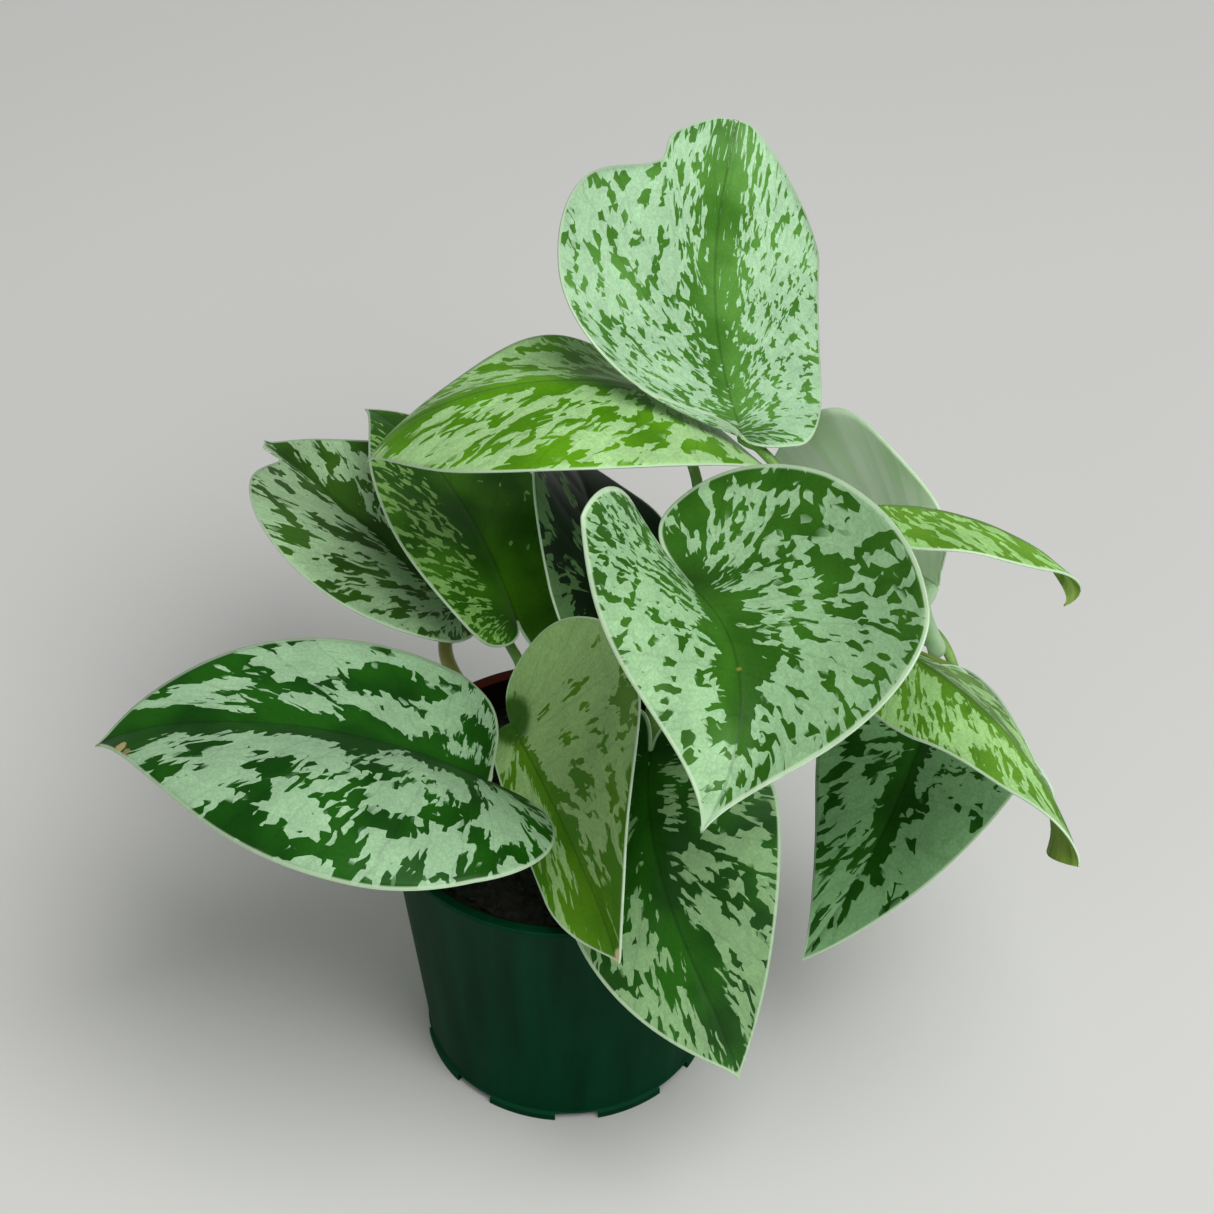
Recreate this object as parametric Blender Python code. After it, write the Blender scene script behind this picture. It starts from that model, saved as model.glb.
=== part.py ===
"""A satin pothos in a four inch nursery pot.

The pot stands on z = 0 with its axis on the Z axis. The view that the leaves were laid out for looks along +Y from
above, so +X is its right. Sizes are in millimetres and are turned to metres by MM.
"""

import math

import bmesh
import bpy
from mathutils import Vector

MM = 0.001
GAP = 0.3

POT_HEIGHT = 98.0
RIM_RADIUS = 54.0
RIM_HEIGHT = 2.6
RIM_OVERHANG = 1.8
FOOT_RADIUS = 43.6
FOOT_HEIGHT = 3.2
FOOT_LEDGE = 0.9
WALL = 1.5
FLOOR_TOP = 1.6
POT_SIDES = 40
NOTCH_COUNT = 8
NOTCH_WIDTH = 13.0
NOTCH_HEIGHT = 2.9
NOTCH_TURN = -86.0
NOTCH_INNER = 36.5

SOIL_TOP = 88.0
SOIL_CROWN = 2.0
STEM_FOOT = 60.0
HOLE_CLEAR = 8.0

BLADE = 0.8
ROWS = 24
COLUMNS = 3
RIB_STEPS = 40
RIB_SPACING = 1.5
VEIN_CURVE = 1.3
HOOK_START = 0.7
WAVE_COUNT = 3.5
NOTCH_BREADTH = 0.05
LOBE_SHARE = 0.25
BELLY_SHARE = 0.55

PETIOLE_SEAT = 2.0
PETIOLE_GAP = 0.4
PETIOLE_LEAN = 0.35
PETIOLE_APPROACH = 6.0
PETIOLE_RADII = (1.8, 1.3)
SPAN_STEPS = 4
TUBE_BEVEL = 1

LEAF_BASE = {
    "sweep": 0, "droop": -20, "twist": 0, "hook": 0, "roll": 0, "curl": 0,
    "lobe": 0.16, "belly": 0.32, "shoulder": 0.45, "point": 0.15, "blunt": 0,
    "fold_left": 0, "fold_right": 0, "fold_tip": 0, "cup_left": 0, "cup_right": 0,
    "notch": 0, "notch_at": 0.8, "wave": 0.7,
}

# Angles are in degrees. Heading 0 is +X and 90 is +Y; left and right are as seen from above the upper face.
LEAVES = {
    "leaf_top": {
        "base": (50, 29.5, 210), "length": 119, "left": 55.5, "right": 34,
        "heading": 104, "sweep": -29, "pitch": 3, "droop": 12, "roll": 1, "twist": 14, "hook": 31,
        "lobe": -0.07, "belly": 0.33, "shoulder": 0.66, "point": -0.07, "blunt": 0.08, "blunt_right": -0.03,
        "lobe_right": 0.05, "belly_right": 0.72, "shoulder_right": 0.4,
        "fold_left": 21, "fold_right": 8, "fold_tip": -11, "cup_left": 25, "cup_right": -37,
        "notch": 0.33, "notch_at": 0.757, "wave": 0.5,
    },
    "leaf_upper_left": {
        "base": (38.5, 51.5, 199.5), "length": 112, "left": 42, "right": 34,
        "heading": 197, "sweep": -22, "pitch": 49, "droop": -107, "roll": 21, "twist": -17, "hook": -6,
        "lobe": 0.13, "belly": 0.33, "shoulder": 0.52, "point": 0.09,
        "lobe_right": 0.08, "belly_right": 0.29, "shoulder_right": 0.39,
        "fold_left": -4, "fold_right": -11, "fold_tip": -10, "cup_left": -4, "cup_right": 23,
        "wave": 0.4,
    },
    "leaf_front_heart": {
        "base": (34, -32, 212.5), "length": 78, "left": 54, "right": 72,
        "heading": -53, "sweep": -72, "pitch": 0, "droop": -35, "roll": -42, "twist": 36, "hook": 20,
        "lobe": 0.37, "belly": 0.41, "shoulder": 0.32, "point": 0.33, "blunt": -0.31, "blunt_right": -0.18,
        "lobe_right": 0.02, "belly_right": 0.19, "shoulder_right": 0.07,
        "fold_left": 31, "fold_right": 20, "fold_tip": -17, "cup_left": 63, "cup_right": 6,
        "wave": 0.5,
    },
    "leaf_upper_right": {
        "base": (76.5, -3, 214), "length": 78, "left": 25, "right": 23.5,
        "heading": -16, "sweep": -2, "pitch": 25, "droop": -75, "roll": -29, "twist": -3, "hook": -81, "curl": -91,
        "belly": 0.28, "shoulder": 0.35, "point": 0.29, "blunt": -0.03,
        "lobe_right": 0.02, "belly_right": 0.36, "shoulder_right": 0.34,
        "fold_left": -24, "fold_right": -17, "fold_tip": 11, "cup_left": 7, "cup_right": -2,
    },
    "leaf_pale_underside": {
        "base": (105.5, 14, 167), "length": 72, "left": 42, "right": 32,
        "heading": 139, "sweep": -15, "pitch": 14, "droop": -30, "roll": 78, "twist": 6, "hook": -13,
        "lobe": -0.02, "belly": 0.4, "lobe_right": -0.05,
        "fold_left": 6, "fold_tip": 2, "cup_left": 1, "cup_right": -9,
    },
    "leaf_lower_right": {
        "base": (86.5, 3, 159.5), "length": 98, "left": 29, "right": 21,
        "heading": -36, "sweep": -42, "pitch": 4, "droop": -14, "roll": -6, "twist": -65, "hook": -21, "curl": -50,
        "lobe": -0.16, "belly": 0.22, "shoulder": 0.67, "point": 0.05, "blunt": 0.37,
        "lobe_right": 0.1, "belly_right": 0.36, "shoulder_right": 0.27,
        "fold_left": -31, "fold_right": -38, "fold_tip": 7, "cup_left": 15, "cup_right": -7,
    },
    "leaf_hanging_right": {
        "base": (110.5, 29, 116.5), "length": 95, "left": 62, "right": 32,
        "heading": -118, "sweep": -16, "pitch": -64, "droop": 44, "roll": 22, "twist": -38, "hook": -9,
        "lobe": 0.1, "belly": 0.12, "shoulder": -0.47, "point": 0.16,
        "lobe_right": 0.05, "belly_right": 0.26, "shoulder_right": 0.28,
        "fold_left": 24, "fold_right": 10, "fold_tip": -17, "cup_left": -12, "cup_right": 5,
    },
    "leaf_low_left": {
        "base": (-20.5, -23, 127.5), "length": 119, "left": 55, "right": 41,
        "heading": 170, "sweep": 6, "pitch": 26, "droop": -49, "roll": 26, "twist": -26, "hook": -18,
        "belly": 0.22, "shoulder": 0.56, "point": 0.13,
        "lobe_right": 0.0, "belly_right": 0.13, "shoulder_right": 0.73,
        "fold_left": 18, "fold_right": 13, "fold_tip": -7, "cup_left": -67, "cup_right": 4,
        "wave": 0.5,
    },
    "leaf_front_folded": {
        "base": (-15.5, 4.5, 123), "length": 84, "left": 53, "right": 14,
        "heading": -64, "sweep": -7, "pitch": -7, "droop": -7, "roll": 17, "twist": 12, "hook": -17,
        "belly": 0.4, "shoulder": 0.42, "point": 0.02,
        "lobe_right": 0.01, "belly_right": 0.68, "shoulder_right": 0.62,
        "fold_left": 34, "fold_right": -19, "fold_tip": 23, "cup_left": 3, "cup_right": 6,
        "wave": 0.4,
    },
    "leaf_front_hanging": {
        "base": (24.5, -18, 136), "length": 108, "left": 36, "right": 30,
        "heading": -99, "sweep": 89, "pitch": -24, "droop": -56, "roll": 19, "twist": 14, "hook": -1,
        "lobe": 0.1, "belly": 0.2, "point": 0.1,
        "lobe_right": 0.13, "belly_right": 0.31, "shoulder_right": 0.47,
        "fold_left": -4, "fold_right": -18, "fold_tip": 18, "cup_left": -26, "cup_right": 8,
        "wave": 0.4,
    },
    "leaf_back_left": {
        "base": (-30, 59.5, 113), "length": 105, "left": 44, "right": 33,
        "heading": 138, "sweep": -16, "pitch": 15, "droop": -29, "roll": 11, "twist": -10, "hook": -7,
        "lobe": 0.09, "belly": 0.28, "shoulder": 0.47, "point": 0.18,
        "lobe_right": 0.1, "belly_right": 0.34, "shoulder_right": 0.49,
        "fold_left": 29, "fold_right": 15, "fold_tip": 7, "cup_left": -25, "cup_right": 2,
        "notch": 0.65, "notch_at": 0.86,
    },
    "leaf_middle_left": {
        "base": (-14, 40, 129), "length": 102, "left": 31, "right": 32,
        "heading": 110, "sweep": 19, "pitch": 25, "droop": -38, "roll": 27, "twist": -17, "hook": -12,
        "lobe": 0.08, "belly": 0.31, "shoulder": 0.41, "point": 0.14,
        "fold_left": 9, "fold_right": 5, "fold_tip": -7, "cup_left": -6,
    },
    "leaf_middle_dark": {
        "base": (11, 38.5, 137.5), "length": 74, "left": 26, "right": 26,
        "heading": 92, "sweep": 17, "pitch": 27, "droop": -59, "roll": 31, "twist": -3, "hook": -4,
        "lobe": 0.21, "belly": 0.33, "shoulder": 0.46, "point": 0.16,
        "fold_left": 10, "fold_right": 5, "fold_tip": -1, "cup_left": 11,
    },
}

# Each stem is a route of hand-placed points. A petiole leaves it at a share of its length, goes by its own points
# and ends under its blade.
STEMS = {
    "stem_upright": {
        "route": ((24, 12, STEM_FOOT), (24, 12, 90), (26, 14, 118), (31, 19, 146), (36, 25, 168)),
        "radii": (3.0, 2.3),
        "petioles": {
            "leaf_middle_dark": {"at": 0.40, "by": ((17, 22, 117), (8, 32, 124))},
            "leaf_upper_right": {"at": 0.72, "by": ((44, 14, 176),)},
            "leaf_front_heart": {"at": 0.80, "by": ((36, -2, 182),)},
            "leaf_upper_left": {"at": 0.97, "by": ((38, 36, 184),)},
            "leaf_top": {"at": 0.90, "by": ((54, 18, 184), (61, 22, 200)), "side_on": (-7, 3.5, 2)},
        },
    },
    "stem_right": {
        "route": ((30, -2, STEM_FOOT), (30, -2, 90), (38, 4, 104), (56, 18, 116), (76, 31, 126), (92, 39, 129)),
        "radii": (3.0, 2.4),
        "petioles": {
            "leaf_front_hanging": {"at": 0.28, "by": ((30, -6, 118),)},
            "leaf_lower_right": {"at": 0.78, "by": ((82, 18, 142),)},
            "leaf_pale_underside": {"at": 0.98, "by": ((105, 32, 131), (106, 12, 146)), "radii": (2.6, 2.4)},
            "leaf_hanging_right": {"at": 0.93, "by": ((106, 40, 127),)},
        },
    },
    "stem_left": {
        "route": ((-4, 14, STEM_FOOT), (-4, 14, 90), (-8, 17, 102), (-12, 21, 111)),
        "radii": (2.8, 2.3),
        "petioles": {
            "leaf_low_left": {"at": 0.62, "by": ((-24, 6, 106), (-27, -14, 117))},
            "leaf_front_folded": {"at": 0.80, "by": ()},
            "leaf_middle_left": {"at": 0.96, "by": ((-13, 31, 119),)},
        },
    },
    "stem_back_left": {
        "route": ((-23, 30, STEM_FOOT), (-23, 30, 90), (-25.5, 34, 99.5)),
        "radii": (2.6, 2.3),
        "petioles": {
            "leaf_back_left": {
                "at": 0.92, "by": ((-34, 45, 103), (-36.5, 54, 106.5)), "radii": (2.4, 1.9), "side_on": (2, 3, 8),
            },
        },
    },
}


def clear_scene():
    for item in list(bpy.data.objects):
        bpy.data.objects.remove(item, do_unlink=True)


def material(name, colour, roughness, metallic=0.0):
    made = bpy.data.materials.new(name)
    made.use_nodes = True
    shader = made.node_tree.nodes["Principled BSDF"]
    shader.inputs["Base Color"].default_value = (*colour, 1.0)
    shader.inputs["Roughness"].default_value = roughness
    shader.inputs["Metallic"].default_value = metallic
    return made


def object_from(name, mesh, surface=None):
    made = bpy.data.objects.new(name, mesh)
    bpy.context.scene.collection.objects.link(made)
    if surface:
        made.data.materials.clear()
        made.data.materials.append(surface)
    return made


def object_from_bmesh(name, shape, surface=None):
    mesh = bpy.data.meshes.new(name)
    shape.to_mesh(mesh)
    shape.free()
    return object_from(name, mesh, surface)


def shade(item, angle=40):
    item.data.shade_smooth()
    item.data.set_sharp_from_angle(angle=math.radians(angle))


def evaluated_copy(item):
    """A new mesh with the object's modifiers or curve settings worked in."""
    seen = item.evaluated_get(bpy.context.evaluated_depsgraph_get())
    return bpy.data.meshes.new_from_object(seen)


def bezier(a, b, c, d, t):
    """A cubic curve through numbers or vectors."""
    u = 1 - t
    return a * u**3 + b * (3 * u * u * t) + c * (3 * u * t * t) + d * t**3


def leaf_values(name):
    leaf = dict(LEAF_BASE)
    leaf.update(LEAVES[name])
    for key in ("lobe", "belly", "shoulder"):
        leaf.setdefault(key + "_right", LEAF_BASE[key])
    leaf.setdefault("blunt_right", leaf["blunt"])
    return leaf


def margin(leaf, t, left):
    """The blade's edge, flat, from the sinus at t = 0 round the lobe to the tip at t = 1.

    The first number runs along the rib as a share of the length, the second is a share of the half width.
    """
    side = "" if left else "_right"
    lobe = leaf["lobe" + side]
    belly = leaf["belly" + side]
    shoulder = leaf["shoulder" + side]
    point = leaf["point"]
    if t < LOBE_SHARE:
        s = t / LOBE_SHARE
        along = bezier(0.0, -0.5 * lobe, -lobe, -lobe, s)
        out = bezier(0.0, 0.02, 0.10, 0.40, s)
    elif t < BELLY_SHARE:
        s = (t - LOBE_SHARE) / (BELLY_SHARE - LOBE_SHARE)
        along = bezier(-lobe, -lobe, belly - 0.5 * (belly + lobe), belly, s)
        out = bezier(0.40, 0.75, 1.0, 1.0, s)
    else:
        s = (t - BELLY_SHARE) / (1 - BELLY_SHARE)
        along = bezier(belly, belly + shoulder * (1 - belly), 1 - point, 1.0, s)
        out = bezier(1.0, 1.0, 1.1 * point + leaf["blunt" + side], 0.0, s)
    if left:
        out *= 1 - leaf["notch"] * math.exp(-(((t - leaf["notch_at"]) / NOTCH_BREADTH) ** 2))
    return along, out


def rib_turns(leaf, share):
    """Pitch, heading and roll of the rib, in radians, at a share of its length."""
    hook = (max(0.0, share - HOOK_START) / (1 - HOOK_START)) ** 2
    pitch = leaf["pitch"] + leaf["droop"] * share + leaf["hook"] * hook
    heading = leaf["heading"] + leaf["sweep"] * share
    roll = leaf["roll"] + leaf["twist"] * share + leaf["curl"] * hook
    return math.radians(pitch), math.radians(heading), math.radians(roll)


def rib_frame(leaf, share):
    """Unit vectors along the rib, to its left and up from the upper face."""
    pitch, heading, roll = rib_turns(leaf, share)
    along = Vector((math.cos(pitch) * math.cos(heading), math.cos(pitch) * math.sin(heading), math.sin(pitch)))
    level = Vector((-math.sin(heading), math.cos(heading), 0))
    upright = along.cross(level)
    across = level * math.cos(roll) + upright * math.sin(roll)
    normal = upright * math.cos(roll) - level * math.sin(roll)
    return along, across, normal


def rib_points(leaf):
    """Points down the rib from the base, as the sum of short straight steps."""
    spot = Vector(leaf["base"])
    points = [spot.copy()]
    for step in range(RIB_STEPS):
        along, _, _ = rib_frame(leaf, (step + 0.5) / RIB_STEPS)
        spot = spot + along * (leaf["length"] / RIB_STEPS)
        points.append(spot.copy())
    return points


def blade_point(leaf, rib, t, across_share):
    """A point of the blade's middle surface; across_share runs from -1, the right edge, to 1, the left edge."""
    left = across_share >= 0
    part = abs(across_share)
    edge_along, edge_out = margin(leaf, t, left)
    rib_share = t**RIB_SPACING
    along_share = rib_share + (edge_along - rib_share) * part**VEIN_CURVE
    held = min(max(along_share, 0.0), 1.0)
    place = held * RIB_STEPS
    step = min(int(place), RIB_STEPS - 1)
    centre = rib[step].lerp(rib[step + 1], place - step)
    along, across, normal = rib_frame(leaf, held)
    centre = centre + along * (min(along_share, 0.0) * leaf["length"])
    side = "_left" if left else "_right"
    out_share = edge_out * part
    tilt = leaf["fold" + side] + leaf["fold_tip"] * held + leaf["cup" + side] * out_share / 2
    reach = out_share * leaf["left" if left else "right"]
    wave = leaf["wave"] * part * part * math.sin(2 * math.pi * WAVE_COUNT * t) * math.sin(math.pi * t)
    outward = across if left else -across
    lift = reach * math.sin(math.radians(tilt)) + wave
    return centre + outward * (reach * math.cos(math.radians(tilt))) + normal * lift


def leaf_blade(name, surface):
    """A grid folded over the rib: its rows are the side veins, and its ends close on the sinus and the tip."""
    leaf = leaf_values(name)
    rib = rib_points(leaf)
    shape = bmesh.new()
    bmesh.ops.create_grid(shape, x_segments=2 * COLUMNS, y_segments=ROWS, size=1)
    for vert in shape.verts:
        row = (vert.co.y + 1) / 2
        vert.co = blade_point(leaf, rib, row, -vert.co.x) * MM
    bmesh.ops.remove_doubles(shape, verts=shape.verts, dist=0.02 * MM)
    bmesh.ops.triangulate(shape, faces=shape.faces)
    blade = object_from_bmesh(name, shape, surface)
    skin = blade.modifiers.new("thickness", "SOLIDIFY")
    skin.thickness = BLADE * MM
    skin.offset = 0
    shade(blade)
    return blade


def petiole_end(leaf, radius, side_on):
    """Where a petiole stops under the blade, a gap short of it, and the direction in which it arrives.

    It comes from below with a lean towards the tip, or along side_on where its stem stands to one side.
    """
    along, _, normal = rib_frame(leaf, 0)
    roof = max(0, -leaf["fold_left"], -leaf["fold_right"])
    arrival = Vector(side_on) if side_on else normal + along * PETIOLE_LEAN
    arrival.normalize()
    tilt = arrival.cross(normal).length + math.tan(math.radians(roof))
    drop = BLADE / 2 + PETIOLE_GAP + radius * tilt
    return Vector(leaf["base"]) + along * PETIOLE_SEAT - normal * drop, arrival


def smooth_route(route):
    """A smooth curve through the route's points, in equal steps for each span."""
    points = [Vector(p) for p in route]
    path = []
    for index in range(len(points) - 1):
        start, stop = points[index], points[index + 1]
        before = points[max(index - 1, 0)]
        after = points[min(index + 2, len(points) - 1)]
        handle = (stop - start).length / 3
        leave = start + (stop - before).normalized() * handle
        arrive = stop - (after - start).normalized() * handle
        for step in range(SPAN_STEPS):
            path.append(bezier(start, leave, arrive, stop, step / SPAN_STEPS))
    path.append(points[-1])
    return path


def place_on(path, share):
    """The point at a share of a path's steps."""
    place = share * (len(path) - 1)
    step = min(int(place), len(path) - 2)
    return path[step].lerp(path[step + 1], place - step)


def tube(name, points, radii):
    """A closed round tube that tapers evenly between two radii."""
    curve = bpy.data.curves.new(name, "CURVE")
    curve.dimensions = "3D"
    curve.bevel_depth = 1.0
    curve.bevel_resolution = TUBE_BEVEL
    curve.use_fill_caps = True
    spline = curve.splines.new("POLY")
    spline.points.add(len(points) - 1)
    for index, spot in enumerate(points):
        share = index / (len(points) - 1)
        spline.points[index].co = (*(spot * MM), 1)
        spline.points[index].radius = (radii[0] + (radii[1] - radii[0]) * share) * MM
    guide = object_from(name, curve)
    made = object_from(name, evaluated_copy(guide))
    bpy.data.objects.remove(guide, do_unlink=True)
    return made


def petiole(stem_path, leaf_name, settings):
    radii = settings.get("radii", PETIOLE_RADII)
    end, arrival = petiole_end(leaf_values(leaf_name), radii[1], settings.get("side_on"))
    start = place_on(stem_path, settings["at"])
    route = (start, *settings["by"], end - arrival * PETIOLE_APPROACH, end)
    return tube(leaf_name + "_petiole", smooth_route(route), radii)


def leafy_stem(name, surface):
    """A stem and its petioles, joined as the one piece that they grew as."""
    stem = STEMS[name]
    path = smooth_route(stem["route"])
    body = tube(name, path, stem["radii"])
    petioles = bpy.data.collections.new(name + "_petioles")
    for leaf_name, settings in stem["petioles"].items():
        part = petiole(path, leaf_name, settings)
        bpy.context.scene.collection.objects.unlink(part)
        petioles.objects.link(part)
    bpy.context.scene.collection.children.link(petioles)
    union = body.modifiers.new("petioles", "BOOLEAN")
    union.operation = "UNION"
    union.solver = "EXACT"
    union.operand_type = "COLLECTION"
    union.collection = petioles
    joined = evaluated_copy(body)
    for part in list(petioles.objects):
        bpy.data.objects.remove(part, do_unlink=True)
    bpy.data.collections.remove(petioles)
    bpy.data.objects.remove(body, do_unlink=True)
    made = object_from(name, joined, surface)
    shade(made)
    return made


def turned(name, profile, sides):
    """A solid of revolution from (radius, height) points that run from the axis round to the axis again."""
    shape = bmesh.new()
    verts = [shape.verts.new((radius * MM, 0, height * MM)) for radius, height in profile]
    edges = [shape.edges.new(pair) for pair in zip(verts, verts[1:])]
    bmesh.ops.spin(
        shape, geom=verts + edges, cent=(0, 0, 0), axis=(0, 0, 1), angle=math.tau, steps=sides, use_merge=True
    )
    bmesh.ops.remove_doubles(shape, verts=shape.verts, dist=0.01 * MM)
    bmesh.ops.recalc_face_normals(shape, faces=shape.faces)
    return object_from_bmesh(name, shape)


def cut(item, tools):
    """Cuts each tool out of the item in turn and removes it."""
    for tool in tools:
        step = item.modifiers.new("cut", "BOOLEAN")
        step.operation = "DIFFERENCE"
        step.solver = "EXACT"
        step.object = tool
        result = evaluated_copy(item)
        item.modifiers.clear()
        item.data = result
        bpy.data.objects.remove(tool, do_unlink=True)


def block(name, centre, size, turn):
    shape = bmesh.new()
    bmesh.ops.create_cube(shape, size=1)
    bmesh.ops.scale(shape, verts=shape.verts, vec=Vector(size) * MM)
    tool = object_from_bmesh(name, shape)
    tool.location = Vector(centre) * MM
    tool.rotation_euler.z = turn
    tool.hide_render = True
    tool.display_type = "WIRE"
    return tool


def wall_radius(height):
    """Outer radius of the tapered wall, from the ledge over the foot to the lip."""
    foot = FOOT_RADIUS - FOOT_LEDGE
    top = RIM_RADIUS - RIM_OVERHANG
    share = (height - FOOT_HEIGHT) / (POT_HEIGHT - RIM_HEIGHT - FOOT_HEIGHT)
    return foot + (top - foot) * share


def nursery_pot(surface):
    """A thin tapered pot whose drain notches cut through the corner of wall and floor."""
    lip_low = POT_HEIGHT - RIM_HEIGHT
    inner_top = wall_radius(lip_low) - WALL
    inner_foot = wall_radius(FLOOR_TOP) - WALL
    profile = (
        (0, 0),
        (FOOT_RADIUS, 0),
        (FOOT_RADIUS, FOOT_HEIGHT - 0.6),
        (FOOT_RADIUS - FOOT_LEDGE, FOOT_HEIGHT),
        (wall_radius(lip_low), lip_low),
        (RIM_RADIUS, lip_low + 0.3),
        (RIM_RADIUS, POT_HEIGHT - 0.6),
        (RIM_RADIUS - 0.6, POT_HEIGHT),
        (inner_top, POT_HEIGHT),
        (inner_top, lip_low),
        (inner_foot, FLOOR_TOP),
        (0, FLOOR_TOP),
    )
    pot = turned("pot", profile, POT_SIDES)
    reach = FOOT_RADIUS + 2 - NOTCH_INNER
    middle = NOTCH_INNER + reach / 2
    tools = []
    for index in range(NOTCH_COUNT):
        turn = math.radians(NOTCH_TURN + index * 360 / NOTCH_COUNT)
        centre = (middle * math.cos(turn), middle * math.sin(turn), 0)
        tools.append(block("notch", centre, (reach, NOTCH_WIDTH, 2 * NOTCH_HEIGHT), turn))
    cut(pot, tools)
    pot.data.materials.clear()
    pot.data.materials.append(surface)
    shade(pot, 30)
    return pot


def potting_soil(surface):
    """The root ball: it fills the pot to a little under the lip, with a plain hole for each stem."""
    foot = FLOOR_TOP + GAP
    clear = WALL + GAP
    profile = (
        (0, foot),
        (wall_radius(foot) - clear - 1, foot),
        (wall_radius(SOIL_TOP - 1) - clear, SOIL_TOP - 1),
        (wall_radius(SOIL_TOP) - clear - 4, SOIL_TOP),
        (26, SOIL_TOP + 0.7 * SOIL_CROWN),
        (0, SOIL_TOP + SOIL_CROWN),
    )
    soil = turned("soil", profile, POT_SIDES)
    tools = []
    for stem in STEMS.values():
        path = smooth_route(stem["route"])
        sunk = [p for p in path if p.z < SOIL_TOP + SOIL_CROWN + HOLE_CLEAR]
        share = (len(sunk) - 1) / (len(path) - 1)
        sunk[0] = sunk[0] - Vector((0, 0, GAP))
        start, stop = stem["radii"]
        radii = (start + GAP, start + (stop - start) * share + GAP)
        tool = tube("stem_hole", sunk, radii)
        tool.hide_render = True
        tool.display_type = "WIRE"
        tools.append(tool)
    cut(soil, tools)
    soil.data.materials.clear()
    soil.data.materials.append(surface)
    shade(soil, 50)
    return soil


def main():
    clear_scene()
    nursery_pot(material("green moulded plastic", (0.018, 0.075, 0.038), 0.42))
    potting_soil(material("dark potting soil", (0.018, 0.011, 0.008), 0.95))
    for name in STEMS:
        leafy_stem(name, material(name + " green", (0.16, 0.23, 0.07), 0.5))
    for name in LEAVES:
        leaf_blade(name, material(name + " satin green", (0.16, 0.32, 0.14), 0.45))


main()
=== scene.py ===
# A satin pothos in a four inch nursery pot. Sizes are in millimetres and turned to metres by mm.
import math
import random

import bmesh
import bpy
from mathutils import Matrix, Vector, kdtree, noise


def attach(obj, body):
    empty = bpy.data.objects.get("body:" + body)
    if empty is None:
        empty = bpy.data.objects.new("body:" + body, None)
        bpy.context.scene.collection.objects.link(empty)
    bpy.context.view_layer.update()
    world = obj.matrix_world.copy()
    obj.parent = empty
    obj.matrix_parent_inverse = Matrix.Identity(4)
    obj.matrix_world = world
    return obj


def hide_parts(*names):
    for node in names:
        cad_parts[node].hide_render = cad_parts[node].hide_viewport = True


mm = 0.001
mapUnit = 100  # the UV maps count in units of 100 mm
smooth = {"interpolation_type": "SMOOTHSTEP"}  # a Map Range with soft ends
planar = {"noise_dimensions": "2D"}  # a noise on a UV map
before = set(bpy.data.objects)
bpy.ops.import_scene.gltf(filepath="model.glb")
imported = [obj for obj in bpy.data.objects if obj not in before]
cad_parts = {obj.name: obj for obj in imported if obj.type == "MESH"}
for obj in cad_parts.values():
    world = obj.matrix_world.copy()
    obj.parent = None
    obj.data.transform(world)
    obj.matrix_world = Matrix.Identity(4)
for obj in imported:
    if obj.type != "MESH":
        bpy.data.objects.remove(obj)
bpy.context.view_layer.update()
print("frame loaded")


def linearColour(code):
    # sRGB hex to the linear values that Blender's sockets take
    parts = [int(code[i:i + 2], 16) / 255 for i in (0, 2, 4)]
    return (*[c / 12.92 if c <= 0.04045 else ((c + 0.055) / 1.055) ** 2.4 for c in parts], 1.0)


def setNode(tree, node, settings, links):
    # a setting goes to a socket by number or capitalised name, or else to a property; a linked node gives its output
    for key, value in settings.items():
        if isinstance(key, int) or key[0].isupper():
            node.inputs[key].default_value = value
        else:
            setattr(node, key, value)
    for key, source in links.items():
        if isinstance(source, bpy.types.Node):
            source = next(output for output in source.outputs if output.enabled)
        tree.links.new(source, node.inputs[key])
    return node


def addNode(tree, kind, settings, links=()):
    # span is a Map Range's four limits, and stops a ramp's places and colours; links without names go in turn
    made = tree.nodes.new("ShaderNode" + kind)
    values = dict(settings)
    values.update(zip(("From Min", "From Max", "To Min", "To Max"), values.pop("span", ())))
    for index, (place, code) in enumerate(values.pop("stops", ())):
        stop = made.color_ramp.elements[index] if index < 2 else made.color_ramp.elements.new(place)
        stop.position = place
        stop.color = linearColour(code)
    if not isinstance(links, dict):
        links = dict(enumerate(links if isinstance(links, tuple) else (links,)))
    return setNode(tree, made, values, links)


def newMaterial(name):
    made = bpy.data.materials.new(name)
    made.use_nodes = True
    return made, made.node_tree, made.node_tree.nodes["Principled BSDF"]


def cloudedSurface(name, scale, detail, tones, roughness):
    # a plain skin with soft clouds from one tone to the other
    made, tree, shader = newMaterial(name)
    place = addNode(tree, "TexCoord", {}).outputs["Object"]
    clouds = addNode(tree, "TexNoise", {"Scale": scale, "Detail": detail}, place)
    colour = addNode(tree, "ValToRGB", {"stops": tuple(enumerate(tones))}, clouds)
    setNode(tree, shader, {"Roughness": roughness}, {"Base Color": colour})
    return made


def addObject(name, data):
    made = bpy.data.objects.new(name, data)
    bpy.context.scene.collection.objects.link(made)
    return made


def objectFrom(name, shape):
    mesh = bpy.data.meshes.new(name)
    shape.to_mesh(mesh)
    shape.free()
    return addObject(name, mesh)


def evaluatedMesh(item):
    seen = item.evaluated_get(bpy.context.evaluated_depsgraph_get())
    return bpy.data.meshes.new_from_object(seen)


def shadeSmooth(item, angle):
    item.data.shade_smooth()
    item.data.set_sharp_from_angle(angle=math.radians(angle))


def finishPiece(item, node):
    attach(item, "root")
    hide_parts(node)


def bezier(a, b, c, d, t):
    u = 1 - t
    return a * u**3 + b * (3 * u * u * t) + c * (3 * u * t * t) + d * t**3


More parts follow.
